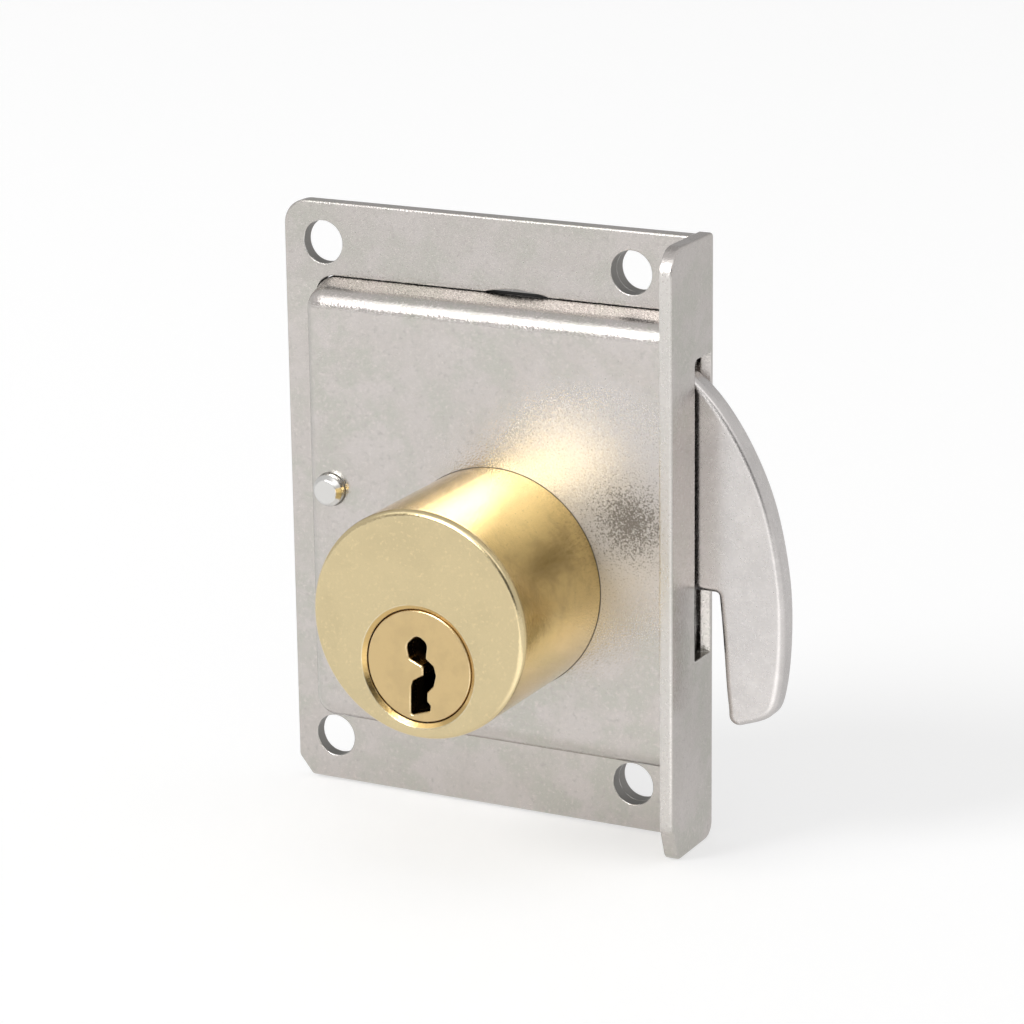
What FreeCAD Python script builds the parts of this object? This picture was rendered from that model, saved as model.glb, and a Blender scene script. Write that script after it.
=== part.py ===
import math
import os

import FreeCAD
import Part

os.makedirs("parts", exist_ok=True)

# Furniture lock with a swinging hook bolt, in millimetres.
# x runs to the right, y away from the viewer and z up. The origin is the middle of the four
# screw holes, on the front face of the plate.

V = FreeCAD.Vector

# Face plate. Heights are drawn from the plate's middle, and the finished pieces are moved so
# that the middle of the screw holes is the origin.
HOLE_DX = 38.8          # screw holes, left to right
HOLE_DZ = 59.4          # screw holes, bottom to top
HOLE_D = 5.0
HOLE_RISE = 0.35        # screw holes above the plate's middle
HOLE_TO_LEFT = 5.1      # hole to the plate's left edge
HOLE_TO_END = 5.05      # hole to the plate's top or bottom edge
HOLE_TO_FLANGE = 7.0
SHEET = 1.5             # plate and forend thickness
PLATE_LEFT = -HOLE_DX / 2 - HOLE_TO_LEFT
PLATE_HALF = HOLE_DZ / 2 + HOLE_TO_END
PLATE_CORNER = 3.0
PLATE_CUT_X = 1.75      # the lower left corner is cut off at a slant
PLATE_CUT_Z = 2.2
PLATE_ARRIS = 0.25

# Forend: flange on the right edge, two lugs behind the plate
FLANGE_IN = HOLE_DX / 2 + HOLE_TO_FLANGE
FLANGE_OUT = FLANGE_IN + SHEET
FLANGE_FRONT = -7.85
FLANGE_BACK = 2 * SHEET
FLANGE_DROP = 0.35      # flange below the plate's bottom edge
FLANGE_TOP_R = 3.0
FLANGE_TOE_Y = 1.45     # slant at the foot of the flange's front edge
FLANGE_TOE_Z = 4.2
HOLE_TO_LUG = 4.4
LUG_LEFT = HOLE_DX / 2 - HOLE_TO_LUG
LUG_SHORT = 1.2         # lugs end short of the plate's edges
SLOT_FRONT = -1.95
SLOT_BACK = 2.25
SLOT_BOTTOM = -13.05
SLOT_TOP = 21.5
SLOT_CORNER = 0.8
SLOT_FLARE = 0.4        # the slot's back wall opens outward by this

# Case pan, pressed from 1.2 mm sheet, standing out of a window in the plate
PAN_T = 1.2
PAN_PROUD = 4.5
PAN_LEFT = PLATE_LEFT + 4.0
PAN_HALF = PLATE_HALF - 8.6
PAN_DRAFT = 0.85        # lean of the walls over their height
PAN_BEND = 2.3          # outside radius of the front bend
PAN_CORNER = 2.6
PAN_BACK = SHEET + 0.5
WINDOW_GAP = 0.12
BOW_R = 16.1            # shallow bow in the top edge of the window
BOW_X = 5.2
BOW_RISE = 0.65
TAB_W = 5.0
TAB_OUT = 2.8
TAB_X = (-8.0, 12.0)
TAB_Z = 12.0
COVER_T = 1.0
INSIDE_FRONT = -PAN_PROUD + PAN_T

# Barrel and plug
BARREL_D = 26.0
BARREL_L = 18.8
BARREL_X = 4.6
BARREL_Z = -5.7
PLUG_DROP = 4.7         # plug axis below the barrel axis
PLUG_X = BARREL_X
PLUG_Z = BARREL_Z - PLUG_DROP
BORE_R = 6.5
BORE_RIM = 0.55         # chamfer round the plug
PLUG_R = BORE_R - 0.08
PLUG_RIM = 0.15
KEYWAY_RIM = 0.12       # chamfer along the keyway's edge
FACE_Y = -PAN_PROUD - BARREL_L
PLUG_FACE_Y = FACE_Y + 0.3
TAIL_R = 3.27
TAIL_HOLE_R = TAIL_R + 0.08
CLIP_R = TAIL_R + 1.33
CLIP_GROOVE = 0.75
CLIP_T = 0.5
CLIP_Y = INSIDE_FRONT + 0.05
LAND_END = CLIP_Y + CLIP_T + 0.5
SQUARE = 4.46
PIN_COUNT = 5
PIN_FIRST = 4.5         # first pin behind the barrel face
PIN_LAST = 2.3          # last pin in front of the pan
PIN_PITCH = (BARREL_L - PIN_FIRST - PIN_LAST) / (PIN_COUNT - 1)
PIN_R = 1.2
CHAMBER_R = 1.25
KEY_PIN_TIPS = (2.0, 2.6, 1.7, 2.3, 2.9)
KEY_PIN_TOP = BORE_R - 0.2
DRIVER_L = 3.5
DRIVER_FOOT = BORE_R + 0.05
SPRING_WIRE = 0.35
SPRING_TURNS = 7
CHAMBER_TOP = BARREL_D / 2 + PLUG_DROP - 1.3

# Hook bolt and its gear drive
HOOK_T = 3.0
HOOK_BACK = PAN_BACK - 0.3
HOOK_FRONT = HOOK_BACK - HOOK_T
TEETH = 12
MODULE = 1.0
PITCH_R = TEETH * MODULE / 2
TIP_R = PITCH_R + 0.8 * MODULE
ROOT_R = PITCH_R - 1.2 * MODULE
PRESSURE = math.radians(25)
BACKLASH = 0.15 * MODULE
CENTRES = 2 * PITCH_R
MESH_ANGLE = -2.3       # direction from the plug to the pivot
PIVOT_X = PLUG_X + CENTRES * math.cos(math.radians(MESH_ANGLE))
PIVOT_Z = PLUG_Z + CENTRES * math.sin(math.radians(MESH_ANGLE))
SECTOR_TEETH = 5
SWING = 90.0
AXLE_R = 2.5
HOOK_ROUND = 0.75
# The hook's outline: distance from the forend's outer face, and height
HOOK_TOP = 19.95
HOOK_BACK_CURVE = [
    (-2.4, HOOK_TOP), (0.0, 18.8), (3.1, 15.55), (6.2, 10.65), (8.3, 5.75), (9.55, 0.85),
    (10.3, -4.15), (10.45, -8.5), (10.25, -12.75), (9.75, -16.2), (8.95, -18.2), (7.2, -19.3),
]
HOOK_TIP = (4.85, -18.9)
HOOK_TIP_R = 1.15
HOOK_INNER_CURVE = [(3.55, -17.2), (3.08, -11.55), (2.5, -5.3)]
HOOK_THROAT = (2.46, -4.9)
HOOK_SHOULDER_R = 4.0

# Posts, stops, detent and screws
STUD_X = -16.6
STUD_Z = 2.35
STUD_R = 1.85
STUD_PROUD = 1.35
STUD_CHAMFER = 0.5
POST_X = -4.6
POST_Z = -5.5
POST_R = 2.0
COLLAR = 7.0            # detent square, across flats
COLLAR_R = COLLAR / 2 + 1.1
WIRE_R = 0.3
ANCHOR_X = -2.8
ANCHOR_R = 1.6
BARREL_SCREW_DX = 7.5
BARREL_SCREW_RISE = 5.45
BARREL_SCREW_R = 1.75
BARREL_SCREW_IN = 5.5   # how far the screws reach into the barrel
BARREL_HEAD_R = 3.0
BARREL_HEAD_T = 1.4
COVER_SCREW_R = 1.25
COVER_HEAD_R = 2.15
COVER_SCREW_L = 4.8
TAP_DEPTH = 4.2
PINION_SCREW_R = 1.5
PINION_HEAD_R = 2.75
PINION_SCREW_L = 5.8
THREAD_GAP = 0.02
PAST = 1.0              # cutting tools run past a face by this


def disc(x, z, r, y0, y1):
    return Part.makeCylinder(r, y1 - y0, V(x, y0, z), V(0, 1, 0))


def cone(x, z, r0, r1, y0, y1):
    return Part.makeCone(r0, r1, y1 - y0, V(x, y0, z), V(0, 1, 0))


def slab(x0, x1, y0, y1, z0, z1):
    return Part.makeBox(x1 - x0, y1 - y0, z1 - z0, V(x0, y0, z0))


def rounded_wire(corners, place):
    """Closed wire through (a, b, radius) corners; place turns (a, b) into a point."""
    count = len(corners)
    starts = []
    mids = []
    ends = []
    for i, (a, b, r) in enumerate(corners):
        before = V(corners[i - 1][0] - a, corners[i - 1][1] - b, 0)
        after = V(corners[(i + 1) % count][0] - a, corners[(i + 1) % count][1] - b, 0)
        half = before.getAngle(after) / 2
        room = 0.49 * min(before.Length, after.Length)
        reach = min(r / math.tan(half), room)
        here = V(a, b, 0)
        before.normalize()
        after.normalize()
        starts.append(here + before * reach)
        ends.append(here + after * reach)
        centre_way = before + after
        if r == 0 or centre_way.Length < 1e-6:
            mids.append(here)
            continue
        centre_way.normalize()
        radius = reach * math.tan(half)
        mids.append(here + centre_way * (radius / math.sin(half) - radius))
    edges = []
    for i in range(count):
        if corners[i][2] > 0:
            arc = Part.Arc(place(starts[i]), place(mids[i]), place(ends[i]))
            edges.append(arc.toShape())
        edges.append(Part.makeLine(place(ends[i]), place(starts[(i + 1) % count])))
    return Part.Wire(edges)


def front_wire(corners, y):
    return rounded_wire(corners, lambda p: V(p.x, y, p.y))


def front_prism(corners, y0, y1):
    face = Part.Face(front_wire(corners, y0))
    return face.extrude(V(0, y1 - y0, 0))


def edges_at(shape, test):
    return [edge for edge in shape.Edges if test(edge.CenterOfMass, edge.BoundBox)]


def drill(shape, spots, r, y0, y1):
    for x, z in spots:
        shape = shape.cut(disc(x, z, r, y0, y1))
    return shape


def mesh_point(radius, degrees, x=PIVOT_X, z=PIVOT_Z):
    turn = math.radians(degrees)
    return V(x + radius * math.cos(turn), 0, z + radius * math.sin(turn))


def tooth_half_angle(radius):
    """Half the angle that a tooth fills at a radius, in degrees."""
    base = PITCH_R * math.cos(PRESSURE)
    half = (math.pi * MODULE / 2 - BACKLASH) / (2 * PITCH_R) + math.tan(PRESSURE) - PRESSURE
    if radius > base:
        slope = math.acos(base / radius)
        half -= math.tan(slope) - slope
    return math.degrees(half)


def tooth_edges(centre, x, z):
    """Edges of one tooth, from its high-angle root over the tip to its low-angle root."""
    base = PITCH_R * math.cos(PRESSURE)
    steps = [base + (TIP_R - base) * i / 4 for i in range(5)]
    rising = [mesh_point(r, centre + tooth_half_angle(r), x, z) for r in steps]
    falling = [mesh_point(r, centre - tooth_half_angle(r), x, z) for r in reversed(steps)]
    half = tooth_half_angle(ROOT_R)
    up = Part.BSplineCurve()
    up.interpolate(rising)
    down = Part.BSplineCurve()
    down.interpolate(falling)
    return [
        Part.makeLine(mesh_point(ROOT_R, centre + half, x, z), rising[0]),
        up.toShape(),
        Part.Arc(rising[-1], mesh_point(TIP_R, centre, x, z), falling[0]).toShape(),
        down.toShape(),
        Part.makeLine(falling[-1], mesh_point(ROOT_R, centre - half, x, z)),
    ]


def root_arc(from_angle, to_angle, x, z):
    middle = (from_angle + to_angle) / 2
    first = mesh_point(ROOT_R, from_angle, x, z)
    last = mesh_point(ROOT_R, to_angle, x, z)
    return Part.Arc(first, mesh_point(ROOT_R, middle, x, z), last).toShape()


def screw(x, z, face_y, head_r, shank_r, length):
    """Countersunk screw with its head flush at face_y, driven towards -y."""
    sink = head_r - shank_r
    body = cone(x, z, shank_r, head_r, face_y - sink, face_y)
    body = body.fuse(disc(x, z, shank_r, face_y - length, face_y - sink))
    slot = slab(x - head_r, x + head_r, face_y - 0.5, face_y + 1, z - 0.3, z + 0.3)
    return body.removeSplitter().cut(slot)


def sink_hole(x, z, face_y, head_r, shank_r, depth):
    sink = head_r - shank_r
    hole = cone(x, z, shank_r, head_r + 0.03, face_y - sink - 0.03, face_y)
    hole = hole.fuse(disc(x, z, head_r + 0.03, face_y, face_y + 1))
    return hole.fuse(disc(x, z, shank_r + 0.05, face_y - depth, face_y - sink))


def make_face_plate():
    outline = [
        (PLATE_LEFT, PLATE_CUT_Z - PLATE_HALF, PLATE_CUT_Z / 3),
        (PLATE_LEFT + PLATE_CUT_X, -PLATE_HALF, PLATE_CUT_X / 3),
        (FLANGE_IN, -PLATE_HALF, 0),
        (FLANGE_IN, PLATE_HALF, 0),
        (PLATE_LEFT, PLATE_HALF, PLATE_CORNER),
    ]
    plate = front_prism(outline, 0, SHEET)
    border = edges_at(plate, lambda c, b: b.YMax < 0.01 and c.x < FLANGE_IN - 0.1)
    plate = plate.makeFillet(PLATE_ARRIS, border)
    window = [
        (PAN_LEFT - WINDOW_GAP, -PAN_HALF - WINDOW_GAP, PAN_CORNER),
        (FLANGE_IN + 1, -PAN_HALF - WINDOW_GAP, 0),
        (FLANGE_IN + 1, PAN_HALF + WINDOW_GAP, 0),
        (PAN_LEFT - WINDOW_GAP, PAN_HALF + WINDOW_GAP, PAN_CORNER),
    ]
    plate = plate.cut(front_prism(window, -PAST, SHEET + PAST))
    bow_z = PAN_HALF + BOW_RISE - BOW_R
    plate = plate.cut(disc(BOW_X, bow_z, BOW_R, -PAST, SHEET + PAST))
    return drill(plate, hole_spots(), HOLE_D / 2, -PAST, SHEET + PAST)


def hole_spots():
    return [(sx * HOLE_DX / 2, sz * HOLE_DZ / 2 + HOLE_RISE)
            for sx in (-1, 1) for sz in (-1, 1)]


def make_forend():
    bottom = -PLATE_HALF - FLANGE_DROP
    side = [
        (FLANGE_FRONT, bottom + FLANGE_TOE_Z, 1.5),
        (FLANGE_FRONT + FLANGE_TOE_Y, bottom, 1.5),
        (FLANGE_BACK, bottom, 1.8),
        (FLANGE_BACK, PLATE_HALF, 0.5),
        (FLANGE_FRONT, PLATE_HALF, FLANGE_TOP_R),
    ]
    wire = rounded_wire(side, lambda p: V(FLANGE_IN, p.x, p.y))
    flange = Part.Face(wire).extrude(V(SHEET, 0, 0))
    rim = edges_at(flange, lambda c, b: b.XMin > FLANGE_OUT - 0.01)
    flange = flange.makeFillet(0.3, rim)
    flange = flange.cut(slot_block())
    for side_z in (-1, 1):
        lug = slab(LUG_LEFT, FLANGE_IN + 0.1, SHEET, FLANGE_BACK,
                   PAN_HALF + 0.3, PLATE_HALF - LUG_SHORT)
        corner = edges_at(lug, lambda c, b: b.YLength > 1 and c.x < FLANGE_IN - 1)
        lug = lug.makeFillet(1.0, corner)
        if side_z < 0:
            lug = lug.mirror(V(0, 0, 0), V(0, 0, 1))
        flange = flange.fuse(lug)
    lug_end = FLANGE_BACK + PAST
    return drill(flange, hole_spots(), HOLE_D / 2, SHEET - PAST, lug_end).removeSplitter()


def slot_block():
    """Slot through the flange; its back wall leans open over the outer part of the sheet."""
    back = SLOT_BACK - SLOT_FLARE
    straight = [
        (SLOT_FRONT, SLOT_BOTTOM, SLOT_CORNER / 2), (back, SLOT_BOTTOM, 0),
        (back, SLOT_TOP, 0), (SLOT_FRONT, SLOT_TOP, SLOT_CORNER),
    ]
    wire = rounded_wire(straight, lambda p: V(FLANGE_IN - 1, p.x, p.y))
    block = Part.Face(wire).extrude(V(SHEET + 2, 0, 0))
    lean = Part.makePolygon([
        V(FLANGE_OUT - 2 * SHEET / 3, back, SLOT_BOTTOM), V(FLANGE_OUT, SLOT_BACK, SLOT_BOTTOM),
        V(FLANGE_OUT + 1, SLOT_BACK, SLOT_BOTTOM), V(FLANGE_OUT + 1, back - 1, SLOT_BOTTOM),
        V(FLANGE_OUT - 2 * SHEET / 3, back - 1, SLOT_BOTTOM),
        V(FLANGE_OUT - 2 * SHEET / 3, back, SLOT_BOTTOM),
    ])
    return block.fuse(Part.Face(lean).extrude(V(0, 0, SLOT_TOP - SLOT_BOTTOM)))


def pan_block(inset, front_y, bend, corner):
    """Solid with the pan's drafted outline, inset by a wall thickness."""
    def outline(y):
        lean = PAN_DRAFT * max(-y, 0) / PAN_PROUD + inset
        right = FLANGE_IN + (5 if inset else 0)
        corners = [
            (PAN_LEFT + lean, -PAN_HALF + lean, corner),
            (right, -PAN_HALF + lean, 0),
            (right, PAN_HALF - lean, 0),
            (PAN_LEFT + lean, PAN_HALF - lean, corner),
        ]
        return front_wire(corners, y)
    raised = Part.makeLoft([outline(front_y), outline(0)], True, True)
    bends = edges_at(raised, lambda c, b: b.YMax < front_y + 0.01 and c.x < FLANGE_IN - 0.1)
    if inset:
        bends = [edge for edge in bends if edge.CenterOfMass.x < FLANGE_IN + 4]
    raised = raised.makeFillet(bend, bends)
    straight = Part.Face(outline(0)).extrude(V(0, PAN_BACK + (3 if inset else 0), 0))
    return raised.fuse(straight).removeSplitter()


def make_case_pan():
    outer = pan_block(0, -PAN_PROUD, PAN_BEND, PAN_CORNER)
    inner = pan_block(PAN_T, INSIDE_FRONT, PAN_BEND - PAN_T, PAN_CORNER - PAN_T)
    pan = outer
    tab_back = SHEET + PAN_T
    far = PAN_HALF + TAB_OUT
    for x in TAB_X:
        pan = pan.fuse(slab(x - TAB_W / 2, x + TAB_W / 2, SHEET, tab_back, -far, far))
    for z in (-TAB_Z, TAB_Z):
        left = PAN_LEFT - TAB_OUT
        pan = pan.fuse(slab(left, 0, SHEET, tab_back, z - TAB_W / 2, z + TAB_W / 2))
    pan = pan.cut(inner)
    front = -PAN_PROUD - PAST
    pan = drill(pan, [(STUD_X, STUD_Z)], STUD_R + THREAD_GAP, front, 0)
    pan = drill(pan, [(STUD_X, STUD_Z)], STUD_R + 0.17, INSIDE_FRONT, 0)
    pan = drill(pan, [(PLUG_X, PLUG_Z)], TAIL_HOLE_R, front, 0)
    pan = drill(pan, barrel_screw_spots(), BARREL_SCREW_R + 0.1, front, 0)
    return pan.removeSplitter()


def make_back_cover():
    outline = [
        (PAN_LEFT, -PAN_HALF, PAN_CORNER),
        (FLANGE_IN - 0.1, -PAN_HALF, 0.5),
        (FLANGE_IN - 0.1, PAN_HALF, 0.5),
        (PAN_LEFT, PAN_HALF, PAN_CORNER),
    ]
    y1 = PAN_BACK + COVER_T
    cover = front_prism(outline, PAN_BACK, y1)
    notch = TAB_W / 2 + 0.15
    depth = PAN_T + 0.1
    for x in TAB_X:
        for sz in (-1, 1):
            z0 = sz * PAN_HALF - (depth if sz > 0 else 1)
            z1 = sz * PAN_HALF + (1 if sz > 0 else depth)
            cover = cover.cut(slab(x - notch, x + notch, PAN_BACK - 1, y1 + 1, z0, z1))
    for z in (-TAB_Z, TAB_Z):
        left = slab(PAN_LEFT - 1, PAN_LEFT + depth, PAN_BACK - 1, y1 + 1, z - notch, z + notch)
        cover = cover.cut(left)
    for x, z in cover_screw_spots():
        cover = cover.cut(sink_hole(x, z, y1, COVER_HEAD_R, COVER_SCREW_R, 3))
    return cover


def cover_screw_spots():
    return [(STUD_X, STUD_Z), (POST_X, POST_Z), (PIVOT_X, PIVOT_Z)]


def barrel_screw_spots():
    z = BARREL_Z + BARREL_SCREW_RISE
    return [(BARREL_X - BARREL_SCREW_DX, z), (BARREL_X + BARREL_SCREW_DX, z)]


def tap(post, x, z):
    return post.cut(disc(x, z, COVER_SCREW_R, PAN_BACK - TAP_DEPTH, PAN_BACK + PAST))


def make_stud_post():
    tip = -PAN_PROUD - STUD_PROUD
    stud = disc(STUD_X, STUD_Z, STUD_R, tip, INSIDE_FRONT)
    stud = stud.makeChamfer(STUD_CHAMFER, edges_at(stud, lambda c, b: b.YMax < tip + 0.01))
    stud = stud.fuse(disc(STUD_X, STUD_Z, STUD_R + 0.15, INSIDE_FRONT, PAN_BACK))
    return tap(stud, STUD_X, STUD_Z)


def make_cover_post():
    return tap(disc(POST_X, POST_Z, POST_R, INSIDE_FRONT, PAN_BACK), POST_X, POST_Z)


def make_hook_pivot_post():
    shoulder = HOOK_FRONT - 0.1
    post = disc(PIVOT_X, PIVOT_Z, HOOK_SHOULDER_R, INSIDE_FRONT, shoulder)
    post = post.fuse(disc(PIVOT_X, PIVOT_Z, AXLE_R, shoulder, PAN_BACK))
    return tap(post, PIVOT_X, PIVOT_Z)


def make_hook_washer():
    ring = disc(PIVOT_X, PIVOT_Z, HOOK_SHOULDER_R, HOOK_BACK + 0.05, PAN_BACK - 0.05)
    return ring.cut(disc(PIVOT_X, PIVOT_Z, AXLE_R + 0.05, HOOK_BACK - 1, PAN_BACK + 1))


def arm_foot():
    """Where the underside of the arm leaves the hub, and the inner corner of the notch."""
    corner = V(FLANGE_IN - 0.3, 0, HOOK_THROAT[1])
    away = V(corner.x - PIVOT_X, 0, corner.z - PIVOT_Z)
    lean = math.degrees(math.atan2(away.z, away.x))
    lean -= math.degrees(math.acos(ROOT_R / away.Length))
    return lean, corner


def make_stop_pin():
    lean, corner = arm_foot()
    foot = mesh_point(ROOT_R, lean)
    along = corner - foot
    along.normalize()
    out = V(along.z, 0, -along.x)
    pin_r = 1.2
    spot = foot + along * 4.2 + out * (pin_r + 0.05)
    return disc(spot.x, spot.z, pin_r, INSIDE_FRONT, HOOK_BACK + 0.2)


def smooth_curve(points, start_way, end_way):
    curve = Part.BSplineCurve()
    curve.interpolate(Points=points, InitialTangent=start_way.normalize(),
                      FinalTangent=end_way.normalize(), Scale=False)
    return curve.toShape()


def make_hook_bolt():
    mesh = 180 + MESH_ANGLE
    clear_r = TIP_R + 0.5
    clear = mesh_point(CENTRES, mesh - SWING)
    left = clear.x + clear_r

    def at(run, z):
        return V(FLANGE_OUT + run, 0, z)

    def round_tip(degrees):
        turn = math.radians(degrees)
        return tip + V(math.cos(turn), 0, math.sin(turn)) * HOOK_TIP_R

    lean, notch = arm_foot()
    tip = at(*HOOK_TIP)
    back_points = [at(run, z) for run, z in HOOK_BACK_CURVE] + [round_tip(-70)]
    into_tip = V(math.sin(math.radians(-70)), 0, -math.cos(math.radians(-70)))
    back = smooth_curve(back_points, V(1, 0, 0), into_tip)
    inner_points = [round_tip(180)] + [at(run, z) for run, z in HOOK_INNER_CURVE]
    lower = inner_points[-1]
    throat = at(*HOOK_THROAT)
    inner = smooth_curve(inner_points, V(0, 0, 1), throat - lower)
    upper = throat - V((throat - lower).Length, 0, 0)
    down = lower - throat
    half = down.getAngle(V(-1, 0, 0)) / 2
    radius = down.Length * math.tan(half)
    towards = down.normalize() + V(-1, 0, 0)
    throat_mid = throat + towards.normalize() * (radius / math.sin(half) - radius)
    edges = [
        Part.makeLine(V(left, 0, HOOK_TOP), back_points[0]),
        back,
        Part.Arc(back_points[-1], round_tip(-125), inner_points[0]).toShape(),
        inner,
        Part.Arc(lower, throat_mid, upper).toShape(),
        Part.makeLine(upper, notch),
        Part.makeLine(notch, mesh_point(ROOT_R, lean)),
    ]
    half = tooth_half_angle(ROOT_R)
    step = 360.0 / TEETH
    here = lean
    first = mesh + step / 2 - 360
    for i in range(SECTOR_TEETH):
        centre = first - step * i
        edges.append(root_arc(here, centre + half, PIVOT_X, PIVOT_Z))
        edges += tooth_edges(centre, PIVOT_X, PIVOT_Z)
        here = centre - half
    leave = here - 4
    edges.append(root_arc(here, leave, PIVOT_X, PIVOT_Z))
    neck = mesh_point(clear_r, -70, clear.x, clear.z)
    bend = mesh_point(clear_r, -35, clear.x, clear.z)
    side = mesh_point(clear_r, 0, clear.x, clear.z)
    edges.append(Part.makeLine(mesh_point(ROOT_R, leave), neck))
    edges.append(Part.Arc(neck, bend, side).toShape())
    edges.append(Part.makeLine(side, V(left, 0, HOOK_TOP)))
    hook = Part.Face(Part.Wire(edges)).extrude(V(0, HOOK_T, 0))
    hook.translate(V(0, HOOK_FRONT, 0))

    def outside(c, b):
        above = b.ZMin > HOOK_TOP - 0.01
        right = b.XMin > back_points[0].x - 0.01
        return b.YLength < 0.01 and b.XMin > left - 0.01 and (above or right)
    hook = hook.makeFillet(HOOK_ROUND, edges_at(hook, outside))
    bore = disc(PIVOT_X, PIVOT_Z, AXLE_R + 0.05, HOOK_FRONT - 1, HOOK_BACK + 1)
    return hook.cut(bore)


def make_drive_pinion():
    step = 360.0 / TEETH
    half = tooth_half_angle(ROOT_R)
    edges = []
    for i in range(TEETH):
        centre = MESH_ANGLE - step * i
        edges += tooth_edges(centre, PLUG_X, PLUG_Z)
        edges.append(root_arc(centre - half, centre - step + half, PLUG_X, PLUG_Z))
    wheel = Part.Face(Part.Wire(edges)).extrude(V(0, HOOK_T, 0))
    wheel.translate(V(0, HOOK_FRONT, 0))
    flat = COLLAR / 2
    collar = slab(PLUG_X - flat, PLUG_X + flat, LAND_END, HOOK_FRONT,
                  PLUG_Z - flat, PLUG_Z + flat)
    collar = collar.common(disc(PLUG_X, PLUG_Z, COLLAR_R, LAND_END, HOOK_FRONT))
    wheel = wheel.fuse(collar)
    bore = SQUARE / 2 + 0.02
    wheel = wheel.cut(slab(PLUG_X - bore, PLUG_X + bore, LAND_END - 1, square_end() + 0.05,
                           PLUG_Z - bore, PLUG_Z + bore))
    return wheel.cut(sink_hole(PLUG_X, PLUG_Z, HOOK_BACK, PINION_HEAD_R, PINION_SCREW_R, 4))


def square_end():
    return HOOK_FRONT + HOOK_T / 2


def make_pinion_screw():
    shank = PINION_SCREW_R - THREAD_GAP
    return screw(PLUG_X, PLUG_Z, HOOK_BACK, PINION_HEAD_R, shank, PINION_SCREW_L)


def make_plug_clip():
    y1 = CLIP_Y + CLIP_T
    groove = TAIL_R - CLIP_GROOVE
    clip = disc(PLUG_X, PLUG_Z, CLIP_R, CLIP_Y, y1)
    clip = clip.cut(disc(PLUG_X, PLUG_Z, groove + THREAD_GAP, CLIP_Y - 1, y1 + 1))
    mouth = groove - 0.15
    clip = clip.cut(slab(PLUG_X - mouth, PLUG_X + mouth, CLIP_Y - 1, y1 + 1,
                         PLUG_Z - 9, PLUG_Z))
    ears = [mesh_point(TAIL_R + 0.22, angle, PLUG_X, PLUG_Z) for angle in (27, 153)]
    return drill(clip, [(ear.x, ear.z) for ear in ears], 0.7, CLIP_Y - 1, y1 + 1)


def pin_rows():
    first = FACE_Y + PIN_FIRST
    return [first + PIN_PITCH * i for i in range(PIN_COUNT)]


def upright(y, r, low, high):
    return Part.makeCylinder(r, high - low, V(PLUG_X, y, PLUG_Z + low), V(0, 0, 1))


def make_cylinder_body():
    body = disc(BARREL_X, BARREL_Z, BARREL_D / 2, FACE_Y, -PAN_PROUD)
    body = body.makeFillet(0.7, edges_at(body, lambda c, b: b.YMax < FACE_Y + 0.01))
    body = body.cut(disc(PLUG_X, PLUG_Z, BORE_R, FACE_Y - 1, 0))
    body = body.cut(cone(PLUG_X, PLUG_Z, BORE_R + BORE_RIM, BORE_R, FACE_Y, FACE_Y + 0.35))
    for y in pin_rows():
        body = body.cut(upright(y, CHAMBER_R, BORE_R - 0.5, CHAMBER_TOP))
        body = body.cut(upright(y, CHAMBER_R, -BARREL_D, 0.5 - BORE_R))
    depth = BARREL_SCREW_IN + 0.5
    return drill(body, barrel_screw_spots(), BARREL_SCREW_R, -PAN_PROUD - depth, 0)


def keyway_corners():
    shape = [
        (-0.20, 3.57, 1.0), (-1.53, 2.30, 0.8), (-1.25, 0.78, 0.5), (0.51, 0.02, 0.35),
        (0.49, -1.01, 0.35), (-0.85, -1.82, 0.3), (-1.08, -2.45, 0.3), (-1.15, -5.78, 0.3),
        (1.19, -5.00, 0.3), (1.31, -4.38, 0.25), (0.87, -3.93, 0.25), (0.90, -2.90, 0.3),
        (1.69, -2.05, 0.5), (2.00, -0.79, 0.6), (1.74, 0.19, 0.3), (0.76, 0.97, 0.3),
        (1.01, 2.66, 0.8),
    ]
    return [(PLUG_X + x, PLUG_Z + z, r) for x, z, r in shape]


def make_cylinder_plug():
    back = -PAN_PROUD - 0.05
    plug = disc(PLUG_X, PLUG_Z, PLUG_R, PLUG_FACE_Y, back)
    rim = edges_at(plug, lambda c, b: b.YMax < PLUG_FACE_Y + 0.01)
    plug = plug.makeChamfer(PLUG_RIM, rim)
    plug = plug.fuse(disc(PLUG_X, PLUG_Z, TAIL_R, back, LAND_END))
    half = SQUARE / 2
    plug = plug.fuse(slab(PLUG_X - half, PLUG_X + half, LAND_END, square_end(),
                          PLUG_Z - half, PLUG_Z + half))
    groove = disc(PLUG_X, PLUG_Z, TAIL_R + 1, CLIP_Y, CLIP_Y + CLIP_T)
    groove = groove.cut(disc(PLUG_X, PLUG_Z, TAIL_R - CLIP_GROOVE, CLIP_Y, CLIP_Y + CLIP_T))
    plug = plug.cut(groove)
    plug = plug.cut(front_prism(keyway_corners(), PLUG_FACE_Y - 1, back - 0.75))

    def keyway_edge(c, b):
        reach = max(abs(b.XMin - PLUG_X), abs(b.XMax - PLUG_X))
        return b.YMax < PLUG_FACE_Y + 0.01 and reach < PLUG_R / 2
    plug = plug.makeChamfer(KEYWAY_RIM, edges_at(plug, keyway_edge))
    for y in pin_rows():
        plug = plug.cut(upright(y, CHAMBER_R, -0.2, BORE_R + 1))
    return plug.cut(disc(PLUG_X, PLUG_Z, PINION_SCREW_R, back, square_end() + 1))


def make_key_pins():
    pins = []
    for y, tip in zip(pin_rows(), KEY_PIN_TIPS):
        nose = Part.makeCone(0.4, PIN_R, 0.8, V(PLUG_X, y, PLUG_Z + tip), V(0, 0, 1))
        pins.append(nose.fuse(upright(y, PIN_R, tip + 0.8, KEY_PIN_TOP)).removeSplitter())
    return Part.makeCompound(pins)


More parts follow.
